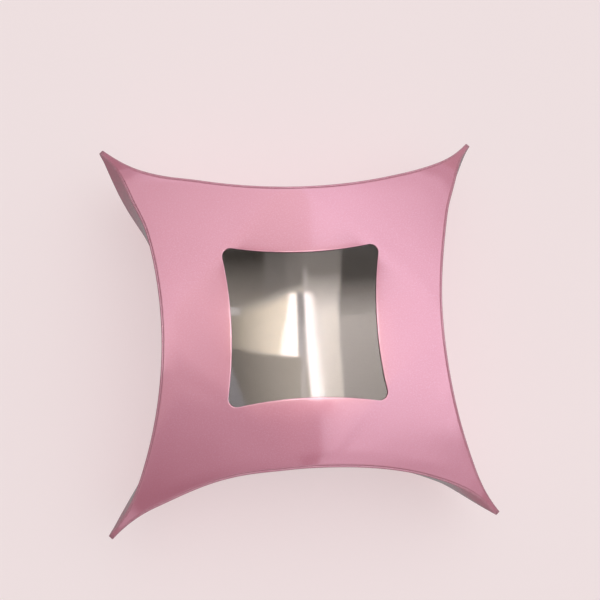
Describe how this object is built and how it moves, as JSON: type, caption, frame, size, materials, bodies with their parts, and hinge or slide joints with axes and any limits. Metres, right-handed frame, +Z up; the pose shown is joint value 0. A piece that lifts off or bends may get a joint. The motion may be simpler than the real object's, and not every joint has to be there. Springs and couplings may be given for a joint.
{
  "type": "favor box",
  "caption": "Square pillow favor box of laminated card with four drawn-in sides, pointed tips, a clear window and end flaps that hinge open.",
  "frame": {"origin": "middle of the underside, on the surface that the box lies on", "axes": "+Z up through the window, +Y towards the back end flaps, +X towards the side wall with the glued seam"},
  "size_m": [0.14, 0.14, 0.043],
  "materials": {
    "card": "laminated, soft gloss",
    "wall_card": "laminated, soft gloss",
    "flap_card": "laminated, soft gloss",
    "film": "clear, polished",
    "glue": "dried white glue"
  },
  "bodies": {
    "sleeve": {"lid_panel": "card", "base_panel": "card", "left_wall_upper": "wall_card", "left_wall_lower": "wall_card", "right_wall_upper": "wall_card", "right_wall_lower": "wall_card", "glue_tab": "wall_card", "seam_glue": "glue", "window_film": "film", "film_glue": "glue"},
    "back_outer": {"back_outer_flap": "flap_card"},
    "back_inner": {"back_inner_flap": "flap_card"},
    "front_outer": {"front_outer_flap": "flap_card"},
    "front_inner": {"front_inner_flap": "flap_card"}
  },
  "joints": [
    {"name": "back_outer_hinge", "type": "hinge", "parent": "sleeve", "child": "back_outer", "pos_m": [0, 0.04915, 0.043], "axis": [1, 0, 0], "range_deg": [0, 110]},
    {"name": "back_inner_hinge", "type": "hinge", "parent": "sleeve", "child": "back_inner", "pos_m": [0, 0.04785, 0.00065], "axis": [1, 0, 0], "range_deg": [0, 60]},
    {"name": "front_outer_hinge", "type": "hinge", "parent": "sleeve", "child": "front_outer", "pos_m": [0, -0.04915, 0.043], "axis": [-1, 0, 0], "range_deg": [0, 110]},
    {"name": "front_inner_hinge", "type": "hinge", "parent": "sleeve", "child": "front_inner", "pos_m": [0, -0.04785, 0.00065], "axis": [-1, 0, 0], "range_deg": [0, 60]}
  ]
}
